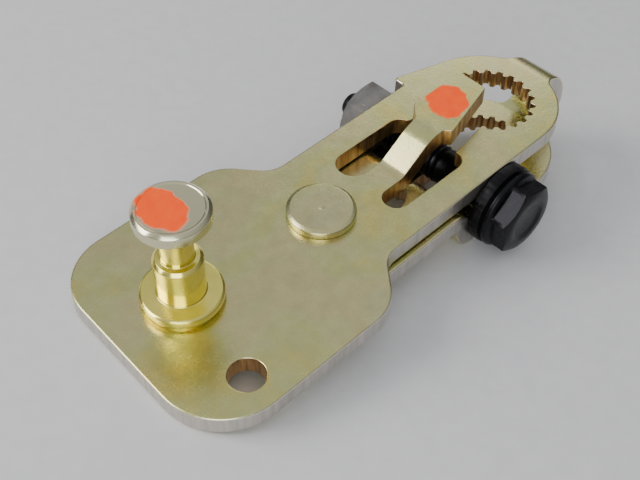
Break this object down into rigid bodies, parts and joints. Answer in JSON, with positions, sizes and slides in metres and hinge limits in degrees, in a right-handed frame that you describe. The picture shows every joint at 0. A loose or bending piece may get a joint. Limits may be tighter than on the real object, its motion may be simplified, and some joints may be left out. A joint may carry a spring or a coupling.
{
  "type": "pinch clamp control lever",
  "caption": "Folded sheet-steel lever with a serrated clamping eye, a transverse pinch bolt, a headed cable stud and a small link hole.",
  "frame": {"origin": "middle of the overall box in plan, at its lowest point, which is the bottom of the bolt washer", "axes": "+X from the wide base to the folded end, +Y along the pinch bolt from its head to its nut, +Z out of the lever's top face"},
  "size_m": [0.0702, 0.0298, 0.0237],
  "materials": {
    "lever_plate": "yellow zinc plated steel sheet",
    "centre_rivet": "yellow zinc plated steel",
    "cable_stud": "turned steel, yellow zinc plated",
    "pinch_bolt": "black oxide",
    "bolt_washer": "black oxide, matt",
    "pinch_nut": "dull grey plated steel"
  },
  "bodies": {
    "lever": {"lever_plate": "lever_plate", "centre_rivet": "centre_rivet", "cable_stud": "cable_stud", "pinch_nut": "pinch_nut"},
    "washer": {"bolt_washer": "bolt_washer"},
    "bolt": {"pinch_bolt": "pinch_bolt"}
  },
  "joints": [
    {"name": "bolt_advance", "type": "slide", "parent": "lever", "child": "washer", "axis": [0, -1, 0], "range_m": [0, 0.0048]},
    {"name": "bolt_turn", "type": "hinge", "parent": "washer", "child": "bolt", "pos_m": [0.01328, 0, 0.00515], "axis": [0, -1, 0], "range_deg": [0, 2160]}
  ],
  "couplings": [
    {"joint": "bolt_turn", "follows": "bolt_advance", "rad_per_m": 7854}
  ]
}
